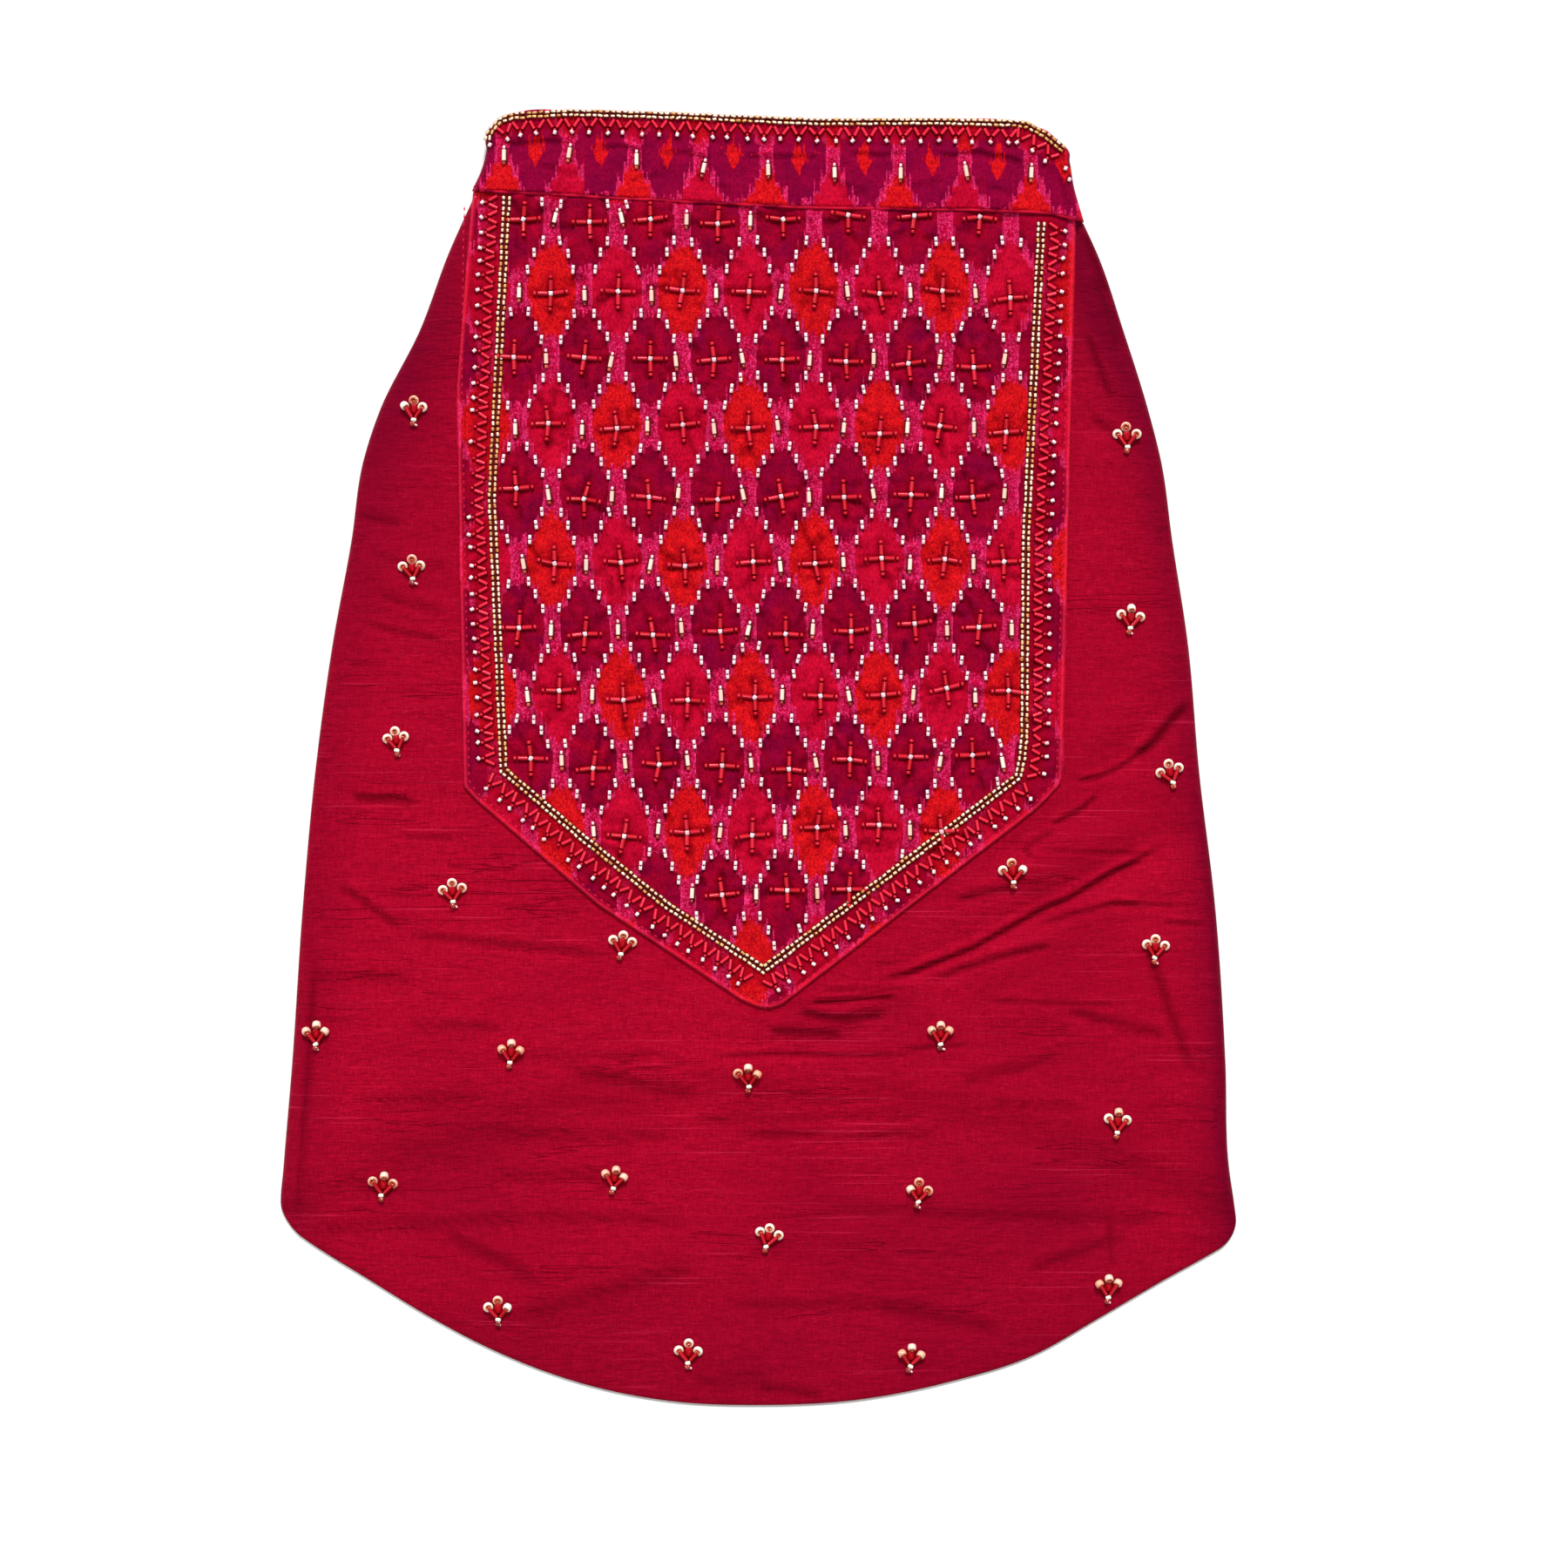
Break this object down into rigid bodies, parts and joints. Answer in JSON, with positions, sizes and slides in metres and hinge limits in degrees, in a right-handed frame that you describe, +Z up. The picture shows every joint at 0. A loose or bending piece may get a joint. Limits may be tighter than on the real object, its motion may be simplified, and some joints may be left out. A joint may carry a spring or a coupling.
{
  "type": "dog sherwani",
  "caption": "Flat-laid dog sherwani in crimson silk: tube-shaped back and belly, stand collar, pointed ikat yoke with bead borders, scattered bead sprigs and a curved tail hem.",
  "frame": {"origin": "middle of the garment's outline on the surface it lies on, at the underside of the belly panel", "axes": "+Z up from the surface, +Y from the tail hem to the collar, +X to the right seen from above with the collar away from the viewer"},
  "size_m": [0.297, 0.4021, 0.0077],
  "materials": {
    "crimson_silk": "raw silk with slubs and a soft sheen",
    "ikat_silk": "ikat woven cloth in plum, magenta and orange-red",
    "gold_beads": "pale gold glass and metal beads",
    "red_beads": "dark red glass seed and bugle beads",
    "cream_beads": "pearly cream seed and bugle beads",
    "red_thread": "sewing thread"
  },
  "bodies": {
    "root": {"back_panel": "crimson_silk", "belly_panel": "crimson_silk", "yoke_panel": "ikat_silk", "collar_band": "ikat_silk", "collar_bead_cord": "gold_beads", "yoke_bead_cord": "gold_beads", "sprig_01": "gold_beads", "sprig_02": "gold_beads", "sprig_03": "gold_beads", "sprig_04": "gold_beads", "sprig_05": "gold_beads", "sprig_06": "gold_beads", "sprig_07": "gold_beads", "sprig_08": "gold_beads", "sprig_09": "gold_beads", "sprig_10": "gold_beads", "sprig_11": "gold_beads", "sprig_12": "gold_beads", "sprig_13": "gold_beads", "sprig_14": "gold_beads", "sprig_15": "gold_beads", "sprig_16": "gold_beads", "sprig_17": "gold_beads", "sprig_18": "gold_beads", "sprig_19": "gold_beads", "sprig_20": "gold_beads", "sprig_21": "gold_beads", "sprig_22": "gold_beads", "sprig_23": "gold_beads"}
  },
  "joints": []
}
